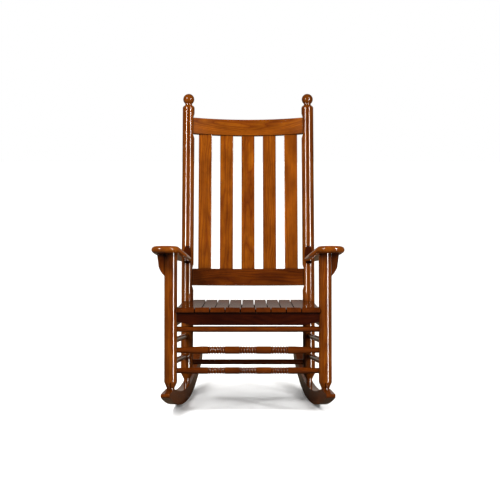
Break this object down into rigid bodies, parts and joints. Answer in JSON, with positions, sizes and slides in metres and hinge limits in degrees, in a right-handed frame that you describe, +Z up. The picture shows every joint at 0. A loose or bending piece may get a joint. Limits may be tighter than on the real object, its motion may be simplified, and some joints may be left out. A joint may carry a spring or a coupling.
{
  "type": "rocking chair",
  "caption": "High-back wooden rocking chair with slatted seat and back, ball finials, paddle arms, beaded front rungs and bent rockers",
  "frame": {"origin": "on the floor, on the chair's centre line, midway between the tips and the tails of the rockers", "axes": "+Z up, front of the chair faces -Y, +X to the right of a viewer who stands in front of the chair"},
  "size_m": [0.698, 0.8912, 1.186],
  "materials": {
    "lacquered_wood": "gloss"
  },
  "bodies": {
    "root": {"rear_post_left": "lacquered_wood", "rear_post_right": "lacquered_wood", "front_post_left": "lacquered_wood", "front_post_right": "lacquered_wood", "crest_rail": "lacquered_wood", "lower_back_rail": "lacquered_wood", "back_slat_1": "lacquered_wood", "back_slat_2": "lacquered_wood", "back_slat_3": "lacquered_wood", "back_slat_4": "lacquered_wood", "back_slat_5": "lacquered_wood", "seat_front_rail": "lacquered_wood", "seat_rear_rail": "lacquered_wood", "seat_side_rail_left": "lacquered_wood", "seat_side_rail_right": "lacquered_wood", "seat_slat_1": "lacquered_wood", "seat_slat_2": "lacquered_wood", "seat_slat_3": "lacquered_wood", "seat_slat_4": "lacquered_wood", "seat_slat_5": "lacquered_wood", "seat_slat_6": "lacquered_wood", "seat_slat_7": "lacquered_wood", "seat_slat_8": "lacquered_wood", "seat_slat_9": "lacquered_wood", "arm_left": "lacquered_wood", "arm_right": "lacquered_wood", "arm_bracket_left": "lacquered_wood", "arm_bracket_right": "lacquered_wood", "front_rung_top": "lacquered_wood", "front_rung_middle": "lacquered_wood", "front_rung_lower": "lacquered_wood", "rear_rung": "lacquered_wood", "side_rung_upper_left": "lacquered_wood", "side_rung_upper_right": "lacquered_wood", "side_rung_lower_left": "lacquered_wood", "side_rung_lower_right": "lacquered_wood", "rocker_left": "lacquered_wood", "rocker_right": "lacquered_wood"}
  },
  "joints": []
}
